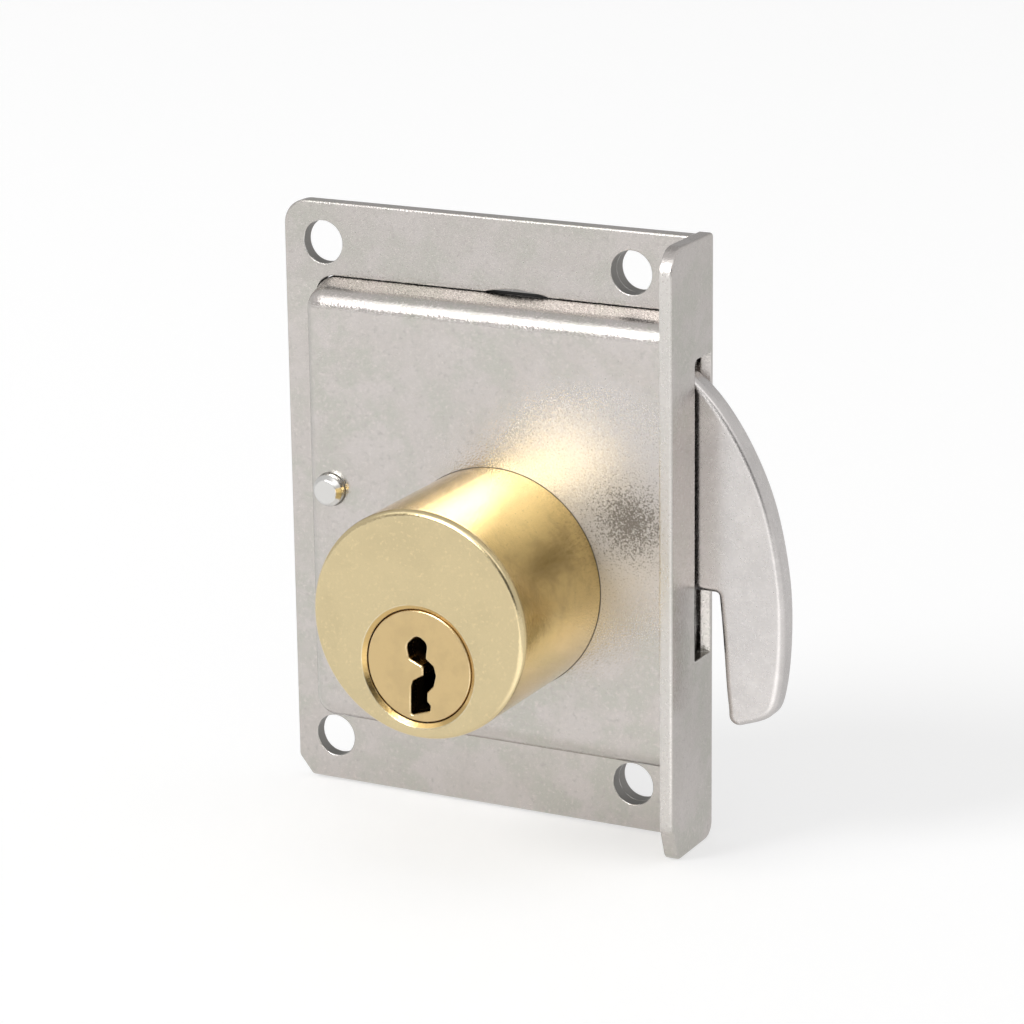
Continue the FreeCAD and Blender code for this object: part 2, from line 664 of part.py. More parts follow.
def make_driver_pins():
    pins = []
    for y in pin_rows():
        pin = upright(y, PIN_R, DRIVER_FOOT, DRIVER_FOOT + DRIVER_L)
        pins.append(pin.makeChamfer(0.2, edges_at(pin, lambda c, b: b.ZLength < 0.01)))
    return Part.makeCompound(pins)


def make_driver_springs():
    foot = DRIVER_FOOT + DRIVER_L
    coil_r = PIN_R - 0.25
    rise = CHAMBER_TOP - foot - SPRING_WIRE - 0.04
    helix = Part.makeHelix(rise / SPRING_TURNS, rise, coil_r)
    ring = Part.makeCircle(SPRING_WIRE / 2, V(coil_r, 0, 0), V(0, 1, 0))
    coil = Part.Wire(helix.Edges).makePipeShell([Part.Wire(ring)], True, True)
    springs = []
    for y in pin_rows():
        spring = coil.copy()
        spring.translate(V(PLUG_X, y, PLUG_Z + foot + SPRING_WIRE / 2 + 0.02))
        springs.append(spring)
    return Part.makeCompound(springs)


def make_chamber_plugs():
    plugs = []
    skin = disc(BARREL_X, BARREL_Z, BARREL_D / 2, FACE_Y, 0)
    for y in pin_rows():
        plugs.append(upright(y, CHAMBER_R - 0.01, -BARREL_D, -BORE_R - 0.1).common(skin))
    return Part.makeCompound(plugs)


def make_cylinder_screws():
    screws = []
    head = INSIDE_FRONT + BARREL_HEAD_T
    wide = BARREL_HEAD_R + PAST
    for x, z in barrel_screw_spots():
        body = disc(x, z, BARREL_HEAD_R, INSIDE_FRONT, head)
        body = body.makeFillet(BARREL_HEAD_R / 5, edges_at(body, lambda c, b: b.YMin > head - 0.01))
        tip = -PAN_PROUD - BARREL_SCREW_IN
        body = body.fuse(disc(x, z, BARREL_SCREW_R - THREAD_GAP, tip, INSIDE_FRONT))
        body = body.cut(slab(x - wide, x + wide, head - BARREL_HEAD_T / 2, head + PAST,
                             z - 0.4, z + 0.4))
        screws.append(body)
    return Part.makeCompound(screws)


def make_cover_screws():
    y1 = PAN_BACK + COVER_T
    shank = COVER_SCREW_R - THREAD_GAP
    return Part.makeCompound([screw(x, z, y1, COVER_HEAD_R, shank, COVER_SCREW_L)
                              for x, z in cover_screw_spots()])


def wire_z():
    return PLUG_Z - COLLAR / 2 - 0.05 - WIRE_R


def wire_y():
    return HOOK_FRONT - 0.45


def make_detent_spring():
    left = ANCHOR_X - ANCHOR_R
    right = PLUG_X + 7.4
    return Part.makeCylinder(WIRE_R, right - left, V(left, wire_y(), wire_z()), V(1, 0, 0))


def make_spring_anchor_post():
    top = HOOK_FRONT - 0.1
    post = disc(ANCHOR_X, wire_z(), ANCHOR_R, INSIDE_FRONT, top)
    slot_r = WIRE_R + 0.02
    left = ANCHOR_X - ANCHOR_R - PAST
    right = ANCHOR_X + ANCHOR_R + PAST
    slot = slab(left, right, wire_y(), top + PAST, wire_z() - slot_r, wire_z() + slot_r)
    bed = Part.makeCylinder(slot_r, right - left, V(left, wire_y(), wire_z()), V(1, 0, 0))
    return post.cut(slot).cut(bed)


PIECES = {
    "face_plate": make_face_plate,
    "forend": make_forend,
    "case_pan": make_case_pan,
    "back_cover": make_back_cover,
    "stud_post": make_stud_post,
    "cover_post": make_cover_post,
    "hook_pivot_post": make_hook_pivot_post,
    "hook_washer": make_hook_washer,
    "stop_pin": make_stop_pin,
    "hook_bolt": make_hook_bolt,
    "drive_pinion": make_drive_pinion,
    "pinion_screw": make_pinion_screw,
    "plug_clip": make_plug_clip,
    "cylinder_body": make_cylinder_body,
    "cylinder_plug": make_cylinder_plug,
    "key_pins": make_key_pins,
    "driver_pins": make_driver_pins,
    "driver_springs": make_driver_springs,
    "chamber_plugs": make_chamber_plugs,
    "cylinder_screws": make_cylinder_screws,
    "cover_screws": make_cover_screws,
    "detent_spring": make_detent_spring,
    "spring_anchor_post": make_spring_anchor_post,
}

for node, make in PIECES.items():
    shape = make()
    shape.translate(V(0, 0, -HOLE_RISE))
    shape.exportStep("parts/" + node + ".step")
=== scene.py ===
"""Furniture lock with a swinging hook bolt: looks, stage, lights and camera."""

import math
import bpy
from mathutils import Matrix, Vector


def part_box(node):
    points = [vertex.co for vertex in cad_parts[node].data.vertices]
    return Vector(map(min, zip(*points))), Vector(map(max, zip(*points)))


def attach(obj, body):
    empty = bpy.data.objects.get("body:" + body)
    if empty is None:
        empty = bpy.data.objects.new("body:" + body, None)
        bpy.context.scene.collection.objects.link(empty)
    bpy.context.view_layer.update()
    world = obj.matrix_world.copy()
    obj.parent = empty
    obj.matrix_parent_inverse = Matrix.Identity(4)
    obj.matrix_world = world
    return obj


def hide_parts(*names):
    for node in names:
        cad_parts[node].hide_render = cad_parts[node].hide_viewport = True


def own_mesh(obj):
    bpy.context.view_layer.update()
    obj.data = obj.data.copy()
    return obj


bl_info = {
    "name": "Furniture Lock",
    "version": (1, 1, 0),
    "blender": (4, 5, 0),
    "location": "View3D > Sidebar > Lock",
    "description": "Dresses a furniture lock: finishes, pins, springs, screws, stage and camera",
    "category": "Object",
}

import bpy
from mathutils import Matrix, Vector

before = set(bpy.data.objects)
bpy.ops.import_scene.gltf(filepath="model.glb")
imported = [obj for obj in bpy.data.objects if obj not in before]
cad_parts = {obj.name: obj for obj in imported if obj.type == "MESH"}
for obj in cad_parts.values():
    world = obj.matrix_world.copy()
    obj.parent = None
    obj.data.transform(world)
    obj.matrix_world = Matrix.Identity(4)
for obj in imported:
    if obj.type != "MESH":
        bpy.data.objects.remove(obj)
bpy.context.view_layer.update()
MM = 0.001

# Places on the lock, in millimetres, in the frame of the CAD part
FLOOR_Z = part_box("forend")[0][2] / MM
BARREL = (4.6, -6.05)
BARREL_R = 13.0
BARREL_FACE = -23.3
PLUG = (4.6, -10.75)
BORE_R = 6.5
PAN_FACE = -4.5
PAN_LEFT = -20.5
PAN_MIDDLE = -0.35
PAN_HALF = 26.15
HOLES = (19.4, 29.7)
HOLE_R = 2.5
SHEET = 1.5
FLANGE_IN = 26.4
FLANGE_FRONT = -7.85
STUD = (-16.6, 2.0)
STUD_R = 1.85

# Painted reflection of the barrel on the pan: middle and radius of the pale matt area and of its
# bright and dark specks
GLINT_SPOT = (17.5, 3.0)
GLINT_SPOT_R = 12.5
GLINT_SPECKS = (14.2, 9.0)
GLINT_SPECKS_R = 10.0
DARK_REFLECTION_SPECKS = (21.2, 2.6)
DARK_REFLECTION_SPECKS_R = 8.0
GLINT_MATT = 0.68       # share of the metal's shine taken away in the painted pale area

# What mirrors see in the studio: direction, inner and outer angle in degrees, and level
STUDIO_LEVEL = 0.9
STUDIO_PATCHES = (
    ((-0.20, -0.85, 0.44), 5, 18, 12.0),
    ((-0.54, -0.82, 0.17), 4, 13, -0.45),
    ((-0.40, 0.78, 0.47), 20, 50, -0.35),
    ((0.49, -0.86, 0.12), 7, 27, -0.76),
)
OVERHEAD_LEVEL = 1.2


# Shader building blocks. Distances inside the materials are in millimetres.

def new_material(name):
    mat = bpy.data.materials.new(name)
    mat.use_nodes = True
    tree = mat.node_tree
    tree.nodes.clear()
    out = tree.nodes.new("ShaderNodeOutputMaterial")
    shader = tree.nodes.new("ShaderNodeBsdfPrincipled")
    tree.links.new(shader.outputs["BSDF"], out.inputs["Surface"])
    return mat, tree, shader


def feed(tree, value, socket):
    """Links a socket, or sets a plain number or colour."""
    if isinstance(value, bpy.types.NodeSocket):
        tree.links.new(value, socket)
    elif hasattr(value, "__len__") and len(value) == 3 and socket.type == "RGBA":
        socket.default_value = (*value, 1)
    else:
        socket.default_value = value


def calc(tree, operation, first, second=0.0):
    node = tree.nodes.new("ShaderNodeMath")
    node.operation = operation
    feed(tree, first, node.inputs[0])
    feed(tree, second, node.inputs[1])
    return node.outputs[0]


def vector(tree, operation, first, second=(0, 0, 0), output="Vector"):
    node = tree.nodes.new("ShaderNodeVectorMath")
    node.operation = operation
    feed(tree, first, node.inputs[0])
    feed(tree, second, node.inputs[1])
    return node.outputs[output]


def remap(tree, value, low, high, to_low=0.0, to_high=1.0, smooth=False):
    node = tree.nodes.new("ShaderNodeMapRange")
    if smooth:
        node.interpolation_type = "SMOOTHSTEP"
    for name, number in (("From Min", low), ("From Max", high),
                         ("To Min", to_low), ("To Max", to_high)):
        node.inputs[name].default_value = number
    feed(tree, value, node.inputs["Value"])
    return node.outputs["Result"]


def blend(tree, factor, first, second):
    node = tree.nodes.new("ShaderNodeMix")
    node.data_type = "RGBA"
    feed(tree, factor, node.inputs["Factor"])
    feed(tree, first, node.inputs["A"])
    feed(tree, second, node.inputs["B"])
    return node.outputs["Result"]


def place(tree):
    """Where a point lies on the lock, in millimetres."""
    coords = tree.nodes.new("ShaderNodeTexCoord")
    return vector(tree, "MULTIPLY", coords.outputs["Object"], (1 / MM, 1 / MM, 1 / MM))


def along(tree, axis):
    split = tree.nodes.new("ShaderNodeSeparateXYZ")
    tree.links.new(place(tree), split.inputs[0])
    return split.outputs[axis]


def noise(tree, size, detail=3.0, stretch=(1, 1, 1), roughness=0.5, shift=0.0):
    """Noise whose blobs are about size millimetres across."""
    texture = tree.nodes.new("ShaderNodeTexNoise")
    texture.inputs["Scale"].default_value = 1 / size
    texture.inputs["Detail"].default_value = detail
    texture.inputs["Roughness"].default_value = roughness
    moved = vector(tree, "ADD", place(tree), (shift, shift, shift))
    tree.links.new(vector(tree, "MULTIPLY", moved, stretch), texture.inputs["Vector"])
    return texture.outputs["Fac"]


def from_axis(tree, x, z, mirrored=False):
    """Distance from a line along y; mirrored counts the nearest of its four mirror images."""
    spot = place(tree)
    if mirrored:
        spot = vector(tree, "ABSOLUTE", spot)
    gap = vector(tree, "SUBTRACT", spot, (x, 0, z))
    return vector(tree, "LENGTH", vector(tree, "MULTIPLY", gap, (1, 0, 1)), output="Value")


def between(tree, value, low, high, edge=0.03):
    rise = remap(tree, value, low - edge, low + edge)
    fall = remap(tree, value, high - edge, high + edge, 1.0, 0.0)
    return calc(tree, "MULTIPLY", rise, fall)


def edge_mask(tree, rounded, gain=5.0):
    """1 on arrises, 0 on flats: how far the rounded normal turns from the true one."""
    geometry = tree.nodes.new("ShaderNodeNewGeometry")
    same = vector(tree, "DOT_PRODUCT", rounded, geometry.outputs["Normal"], "Value")
    return remap(tree, same, 1.0 - 1.0 / gain, 0.995, 1.0, 0.0)


def metal(name, colour, rough, patches=(), rough_spread=0.05, grain=0.25, grain_height=0.010,
          wave=3.0, wave_height=0.010, edge=None, edge_size=0.16, zones=(), stretch=(1, 1, 1),
          rim_tint=None, coat=0.0, matt=None):
    """Metal with cloudy patches, a fine grain, pale arrises that are partly wear and partly painted
    highlight, and zones of another colour.

    patches holds (colour, size, low, high), zones holds (mask function, colour, roughness).
    Heights are in millimetres.
    """
    mat, tree, shader = new_material(name)
    shader.inputs["Metallic"].default_value = 1.0
    if rim_tint:
        feed(tree, rim_tint, shader.inputs["Specular Tint"])
    tone = colour
    for number, (patch, size, low, high) in enumerate(patches):
        clouds = noise(tree, size, 4.0, stretch, 0.6, 17.0 * (number + 1))
        tone = blend(tree, remap(tree, clouds, low, high), tone, patch)
    fine = noise(tree, grain, 2.0, stretch, 0.6)
    uneven = remap(tree, fine, 0.3, 0.7, rough - rough_spread, rough + rough_spread)
    if coat:
        shader.inputs["Coat Weight"].default_value = coat
        shader.inputs["Coat Roughness"].default_value = 0.1
    if matt:
        feed(tree, calc(tree, "SUBTRACT", 1.0, calc(tree, "MULTIPLY", matt(tree), GLINT_MATT)),
             shader.inputs["Metallic"])
    for mask, zone_colour, zone_rough in zones:
        factor = mask(tree)
        tone = blend(tree, factor, tone, zone_colour)
        uneven = calc(tree, "ADD", uneven, calc(tree, "MULTIPLY", factor, zone_rough - rough))
    normal = None
    if edge:
        round_off = tree.nodes.new("ShaderNodeBevel")
        round_off.samples = 4
        round_off.inputs["Radius"].default_value = edge_size * MM
        normal = round_off.outputs["Normal"]
        # Pale arrises: partly wear, partly painted highlight along the edges.
        broken = remap(tree, noise(tree, 1.6, 3.0, shift=5.0), 0.36, 0.56)
        worn_and_lit_edges = calc(tree, "MULTIPLY", edge_mask(tree, normal), broken)
        tone = blend(tree, worn_and_lit_edges, tone, edge)
    for height, size in ((noise(tree, wave, 2.0, stretch), wave_height), (fine, grain_height)):
        node = tree.nodes.new("ShaderNodeBump")
        node.inputs["Strength"].default_value = 1.0
        node.inputs["Distance"].default_value = size * MM
        tree.links.new(height, node.inputs["Height"])
        if normal:
            tree.links.new(normal, node.inputs["Normal"])
        normal = node.outputs["Normal"]
    tree.links.new(normal, shader.inputs["Normal"])
    feed(tree, tone, shader.inputs["Base Color"])
    tree.links.new(uneven, shader.inputs["Roughness"])
    return mat


# Masks for the zones

# Dark walls of the screw holes: partly the duller raw cut steel, partly painted shade inside the
# holes.
def hole_walls_raw_and_shaded(tree):
    return remap(tree, from_axis(tree, *HOLES, mirrored=True), HOLE_R + 0.02, HOLE_R + 0.05,
                 1.0, 0.0)


def window_gap_painted_shade(tree):
    """Cut edge of the plate's window and the pan's wall inside it, near black: painted shade in the
    slit.
    """
    height = calc(tree, "ABSOLUTE", calc(tree, "SUBTRACT", along(tree, "Z"), PAN_MIDDLE))
    inside = remap(tree, height, PAN_HALF + 0.85, PAN_HALF + 0.9, 1.0, 0.0)
    depth = between(tree, along(tree, "Y"), 0.08, SHEET)
    side = between(tree, along(tree, "X"), PAN_LEFT - 0.25, FLANGE_IN - 0.02)
    return calc(tree, "MULTIPLY", calc(tree, "MULTIPLY", inside, depth), side)


def flange_strip(tree):
    return remap(tree, along(tree, "Y"), FLANGE_FRONT + 0.05, FLANGE_FRONT + 0.2, 0.65, 0.0)


def joint_ring_painted_shade(tree):
    """Thin dark ring where the barrel and the stud meet the pan: painted shade in the crease."""
    ring = remap(tree, from_axis(tree, *BARREL), BARREL_R + 0.03, BARREL_R + 0.10, 0.8, 0.0)
    stud = remap(tree, from_axis(tree, *STUD), STUD_R + 0.05, STUD_R + 0.2, 0.8, 0.0)
    on_face = between(tree, along(tree, "Y"), PAN_FACE - 0.1, PAN_FACE + 0.1)
    return calc(tree, "MULTIPLY", calc(tree, "MAXIMUM", ring, stud), on_face)


def barrel_side(tree):
    return remap(tree, along(tree, "Y"), BARREL_FACE + 0.3, BARREL_FACE + 1.2)


def barrel_stains_and_dark_reflection(tree):
    """Brown marks and fine dark pits on the barrel's side; the brown marks crowd into the height
    band where the side mirrors dark, so they are partly painted dark reflection.
    """
    marks = remap(tree, noise(tree, 2.6, 4.0, roughness=0.7, shift=31.0), 0.46, 0.70, 0.0, 0.42)
    height = along(tree, "Z")
    low = remap(tree, height, BARREL[1] - 4.0, BARREL[1] + 2.0, 0.15, 1.0, smooth=True)
    high = remap(tree, height, BARREL[1] + 8.5, BARREL[1] + 11.5, 1.0, 0.15, smooth=True)
    marks = calc(tree, "MULTIPLY", marks, calc(tree, "MULTIPLY", low, high))
    pits = remap(tree, noise(tree, 0.30, 1.0, shift=47.0), 0.70, 0.76, 0.0, 0.8)
    return calc(tree, "MULTIPLY", calc(tree, "MAXIMUM", marks, pits), barrel_side(tree))


def on_pan(tree):
    face = between(tree, along(tree, "Y"), PAN_FACE - 0.2, PAN_FACE + 0.6, 0.2)
    inside = remap(tree, along(tree, "X"), FLANGE_IN - 0.05, FLANGE_IN - 0.02, 1.0, 0.0)
    return calc(tree, "MULTIPLY", face, inside)


def painted_glint_area(tree):
    """Pale, half matt part of the pan above and to the right of the barrel: painted reflection of
    the barrel's highlight.
    """
    near = remap(tree, from_axis(tree, *GLINT_SPOT), GLINT_SPOT_R - 3.0, GLINT_SPOT_R + 5.0, 1.0, 0.0, smooth=True)
    return calc(tree, "MULTIPLY", near, on_pan(tree))


def specks(tree, x, z, radius, size, shift):
    """Fine specks that crowd towards a point on the pan, for its painted highlight and painted dark
    reflection.
    """
    crowd = remap(tree, from_axis(tree, x, z), 0.0, radius, 0.22, -0.14)
    grains = noise(tree, size, 2.0, roughness=0.75, shift=shift)
    marks = remap(tree, calc(tree, "ADD", grains, crowd), 0.54, 0.66)
    return calc(tree, "MULTIPLY", marks, on_pan(tree))


# Painted highlight: bright specks where the pan mirrors the barrel's highlight.
def painted_highlight_specks(tree):
    return specks(tree, *GLINT_SPECKS, GLINT_SPECKS_R, 0.20, 3.0)


# Painted reflection: dark specks where the pan mirrors the barrel's dark band.
def painted_dark_reflection_specks(tree):
    return specks(tree, *DARK_REFLECTION_SPECKS, DARK_REFLECTION_SPECKS_R, 0.20, 61.0)


def pan_wall_painted_shade(tree):
    """Top of the pan's short wall between its bend and the window, darkened: painted shade."""
    height = calc(tree, "SUBTRACT", along(tree, "Z"), PAN_MIDDLE)
    wall = between(tree, along(tree, "Y"), PAN_FACE + 1.5, -0.1, 0.2)
    top = remap(tree, height, PAN_HALF - 1.0, PAN_HALF - 0.5, 0.0, 0.75)
    inside = remap(tree, along(tree, "X"), FLANGE_IN - 0.05, FLANGE_IN - 0.02, 1.0, 0.0)
    return calc(tree, "MULTIPLY", calc(tree, "MULTIPLY", wall, top), inside)


def barrel_low_painted_reflection(tree):
    """Paler lower side of the barrel: painted light, standing in for the bright pan that it
    mirrors.
    """
    low = remap(tree, along(tree, "Z"), BARREL[1] - 7.0, BARREL[1] - 1.0, 0.8, 0.0, smooth=True)
    return calc(tree, "MULTIPLY", low, barrel_side(tree))


# Painted shade: the barrel darkens in a thin band where it stands on the pan.
def barrel_foot_painted_shade(tree):
    return remap(tree, along(tree, "Y"), PAN_FACE - 0.12, PAN_FACE - 0.05, 0.0, 0.75)


def plug_ring_painted_reflection(tree):
    """Chamfer of the bore and the wall behind it, tinted dark orange: painted reflection of the
    brass between the chamfers.
    """
    return remap(tree, from_axis(tree, *PLUG), BORE_R + 0.42, BORE_R + 0.5, 0.92, 0.0)


# Dark ring at the gap between the plug and the bore: painted shade.
def plug_rim_painted_shade(tree):
    return between(tree, from_axis(tree, *PLUG), BORE_R - 0.18, BORE_R + 0.5)


# Darker deeper inside the keyway: painted shade.
def keyway_painted_shade(tree):
    return remap(tree, along(tree, "Y"), BARREL_FACE + 1.0, BARREL_FACE + 3.6, 0.0, 0.96)


# CAD nodes that keep their mesh

def dress(mat, slot, *names):
    for name in names:
        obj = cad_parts[name]
        obj.data.materials.clear()
        obj.data.materials.append(mat)


# Geometry Nodes

class Tree:
    """A Geometry Nodes tree with named inputs that ends in Realize Instances and Set Material."""

    def __init__(self, name, **inputs):
        self.group = bpy.data.node_groups.new(name, "GeometryNodeTree")
        face = self.group.interface
        face.new_socket("Geometry", in_out="INPUT", socket_type="NodeSocketGeometry")
        self.keys = {}
        for label in inputs:
            kind = "NodeSocketInt" if isinstance(inputs[label], int) else "NodeSocketFloat"
            socket = face.new_socket(label, in_out="INPUT", socket_type=kind)
            socket.default_value = inputs[label]
            self.keys[label] = socket.identifier
        face.new_socket("Geometry", in_out="OUTPUT", socket_type="NodeSocketGeometry")
        self.inputs = self.add("NodeGroupInput").outputs
        self.values = inputs

    def add(self, kind, settings=None, **links):
        node = self.group.nodes.new(kind)
        for key, value in (settings or {}).items():
            setattr(node, key, value)
        for label, value in links.items():
            socket = node.inputs[label.replace("_", " ")]
            for item in value if isinstance(value, list) else [value]:
                if isinstance(item, bpy.types.NodeSocket):
                    self.group.links.new(item, socket)
                else:
                    socket.default_value = item
        return node

    def math(self, operation, first, second):
        node = self.add("ShaderNodeMath", {"operation": operation})
        for socket, value in zip(node.inputs, (first, second)):
            if isinstance(value, bpy.types.NodeSocket):
                self.group.links.new(value, socket)
            else:
                socket.default_value = value
        return node.outputs[0]

    def up(self, height):
        """A vector that points up by a height."""
        return self.add("ShaderNodeCombineXYZ", Z=height).outputs[0]

    def moved(self, geometry, height):
        node = self.add("GeometryNodeTransform", Geometry=geometry, Translation=self.up(height))
        return node.outputs["Geometry"]

    def joined(self, *parts):
        node = self.add("GeometryNodeJoinGeometry", Geometry=list(parts))
        return node.outputs["Geometry"]

    def on_points(self, instance, scale=(1, 1, 1), rotation=(0, 0, 0)):
        node = self.add("GeometryNodeInstanceOnPoints", Points=self.inputs["Geometry"],
                        Instance=instance, Scale=scale, Rotation=rotation)
        return node.outputs["Instances"]

    def finish(self, geometry, mat):
        real = self.add("GeometryNodeRealizeInstances", Geometry=geometry).outputs["Geometry"]
        made = self.add("GeometryNodeSetMaterial", Geometry=real, Material=mat)
        out = self.group.nodes.new("NodeGroupOutput")
        self.group.links.new(made.outputs["Geometry"], out.inputs[0])

    def make(self, name, points, **attributes):
        """Runs the tree on a few points, in metres, and returns a plain mesh object."""
        mesh = bpy.data.meshes.new(name)
        mesh.from_pydata(points, [], [])
        for label, values in attributes.items():
            layer = mesh.attributes.new(label, "FLOAT", "POINT")
            layer.data.foreach_set("value", values)
        obj = bpy.data.objects.new(name, mesh)
        bpy.context.scene.collection.objects.link(obj)
        modifier = obj.modifiers.new("build", "NODES")
        modifier.node_group = self.group
        for label, key in self.keys.items():
            modifier[key] = self.values[label]
        graph = bpy.context.evaluated_depsgraph_get()
        plain = bpy.data.meshes.new_from_object(obj.evaluated_get(graph))
        obj.modifiers.clear()
        obj.data = plain
        return obj


def attribute(tree, label):
    node = tree.add("GeometryNodeInputNamedAttribute", {"data_type": "FLOAT"}, Name=label)
    return node.outputs["Attribute"]


def shade(obj, degrees):
    """Smooth faces with sharp edges past an angle."""
    for face in obj.data.polygons:
        face.use_smooth = True
    obj.data.set_sharp_from_angle(angle=math.radians(degrees))


def stand_in(obj, replaced, body):
    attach(obj, body)
    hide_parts(replaced)


def row(name, count):
    """Middles of equal pieces in a row along y, its lowest and highest z, and their radius."""
    low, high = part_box(name)
    radius = (high[0] - low[0]) / 2
    first = low[1] + radius
    pitch = (high[1] - radius - first) / (count - 1)
    return [(low[0] + radius, first + pitch * i) for i in range(count)], low[2], high[2], radius


def pin_tree(name, radius, nose, nose_radius, mat):
    """Pins stand on their points; attribute tall is their whole height."""
    tree = Tree(name, Radius=radius, Nose=nose, NoseRadius=nose_radius, Sides=40)
    r, tip, tip_r = (tree.inputs[key] for key in ("Radius", "Nose", "NoseRadius"))
    sides = tree.inputs["Sides"]
    cone = tree.add("GeometryNodeMeshCone", {"fill_type": "NGON"}, Vertices=sides,
                    Radius_Top=r, Radius_Bottom=tip_r, Depth=tip)
    body = tree.add("GeometryNodeMeshCylinder", {"fill_type": "NGON"}, Vertices=sides,
                    Radius=r, Depth=1.0)
    unit = tree.moved(body.outputs["Mesh"], 0.5)
    rest = tree.math("SUBTRACT", attribute(tree, "tall"), tip)
    stretch = tree.add("ShaderNodeCombineXYZ", X=1.0, Y=1.0, Z=rest).outputs[0]
    bodies = tree.on_points(unit, scale=stretch)
    lift = tree.add("GeometryNodeTranslateInstances", Instances=bodies, Translation=tree.up(tip),
                    Local_Space=False).outputs["Instances"]
    noses = tree.on_points(cone.outputs["Mesh"])
    tree.finish(tree.joined(lift, noses), mat)
    return tree


def spring_tree(height, coil_radius, wire_radius, turns, mat):
    """Helical springs that stand on their points."""
    tree = Tree("springs", Height=height, Coil=coil_radius, Wire=wire_radius, Turns=turns,
                Steps=28)
    coil = tree.inputs["Coil"]
    spiral = tree.add("GeometryNodeCurveSpiral", Resolution=tree.inputs["Steps"],
                      Rotations=tree.inputs["Turns"], Start_Radius=coil, End_Radius=coil,
                      Height=tree.inputs["Height"])
    section = tree.add("GeometryNodeCurvePrimitiveCircle", {"mode": "RADIUS"}, Resolution=10,
                       Radius=tree.inputs["Wire"])
    tube = tree.add("GeometryNodeCurveToMesh", Curve=spiral.outputs["Curve"],
                    Profile_Curve=section.outputs["Curve"], Fill_Caps=True)
    tree.finish(tree.on_points(tube.outputs["Mesh"]), mat)
    return tree


def screw_tree(head, shank, length, mat):
    """Slotted countersunk screws whose heads lie at their points and face along +y."""
    tree = Tree("screws", Head=head, Shank=shank, Length=length, Slot=0.6 * MM, Sides=48)
    wide, thin, long = (tree.inputs[key] for key in ("Head", "Shank", "Length"))
    sides = tree.inputs["Sides"]
    sink = tree.math("SUBTRACT", wide, thin)
    cone = tree.add("GeometryNodeMeshCone", {"fill_type": "NGON"}, Vertices=sides,
                    Radius_Top=wide, Radius_Bottom=thin, Depth=sink).outputs["Mesh"]
    cutter = tree.add("ShaderNodeCombineXYZ", X=tree.math("MULTIPLY", wide, 3.0),
                      Y=tree.inputs["Slot"], Z=tree.inputs["Slot"]).outputs[0]
    block = tree.add("GeometryNodeMeshCube", Size=cutter).outputs["Mesh"]
    slot = tree.moved(block, sink)
    cut = tree.add("GeometryNodeMeshBoolean", {"operation": "DIFFERENCE"}, Mesh_1=cone,
                   Mesh_2=[slot]).outputs["Mesh"]
    below = tree.math("SUBTRACT", sink, long)
    rod = tree.add("GeometryNodeMeshCylinder", {"fill_type": "NGON"}, Vertices=sides,
                   Radius=thin, Depth=tree.math("SUBTRACT", long, sink)).outputs["Mesh"]
    rod = tree.moved(rod, tree.math("MULTIPLY", below, 0.5))
    screw = tree.joined(cut, rod)
    screw = tree.moved(screw, tree.math("MULTIPLY", sink, -1.0))
    tilt = tree.add("ShaderNodeCombineXYZ", X=-math.pi / 2, Y=attribute(tree, "turned"),
                    Z=0.0).outputs[0]
    tree.finish(tree.on_points(screw, rotation=tilt), mat)
    return tree


# Settings and steps

class LockFinish(bpy.types.PropertyGroup):
    """Colours and roughness of the metals."""

    nickel: bpy.props.FloatVectorProperty(
        name="Nickel", description="Colour of the plate, case and forend",
        subtype="COLOR", size=3, default=(0.59, 0.552, 0.524))
    nickel_rough: bpy.props.FloatProperty(
        name="Nickel roughness", description="Roughness of the satin nickel",
        default=0.23, min=0.05, max=0.9)
    brass: bpy.props.FloatVectorProperty(
        name="Brass", description="Colour of the key barrel",
        subtype="COLOR", size=3, default=(0.66, 0.54, 0.31))
    brass_rough: bpy.props.FloatProperty(
        name="Brass roughness", description="Roughness of the turned brass",
        default=0.17, min=0.05, max=0.9)
    plug: bpy.props.FloatVectorProperty(
        name="Plug brass", description="Colour of the plug and its pins",
        subtype="COLOR", size=3, default=(0.66, 0.49, 0.25))
    hook: bpy.props.FloatVectorProperty(
        name="Hook steel", description="Colour of the hook bolt",
        subtype="COLOR", size=3, default=(0.68, 0.65, 0.635))


class LockStage(bpy.types.PropertyGroup):
    """Light and camera."""

    lens: bpy.props.FloatProperty(
        name="Lens", description="Focal length of the camera in millimetres",
        default=135.28, min=20, max=400)
    key: bpy.props.FloatProperty(
        name="Key light", description="Power of the large light over the left shoulder",
        subtype="POWER", unit="POWER", default=22.0, min=0)
    top: bpy.props.FloatProperty(
        name="Top light", description="Power of the soft light overhead",
        subtype="POWER", unit="POWER", default=4.0, min=0)
    world: bpy.props.FloatProperty(
        name="World", description="Strength of the even light from all round",
        default=0.62, min=0, max=2)
    floor_glow: bpy.props.FloatProperty(
        name="Floor", description="How much the white floor is lifted where it is seen",
        default=0.57, min=0, max=1)


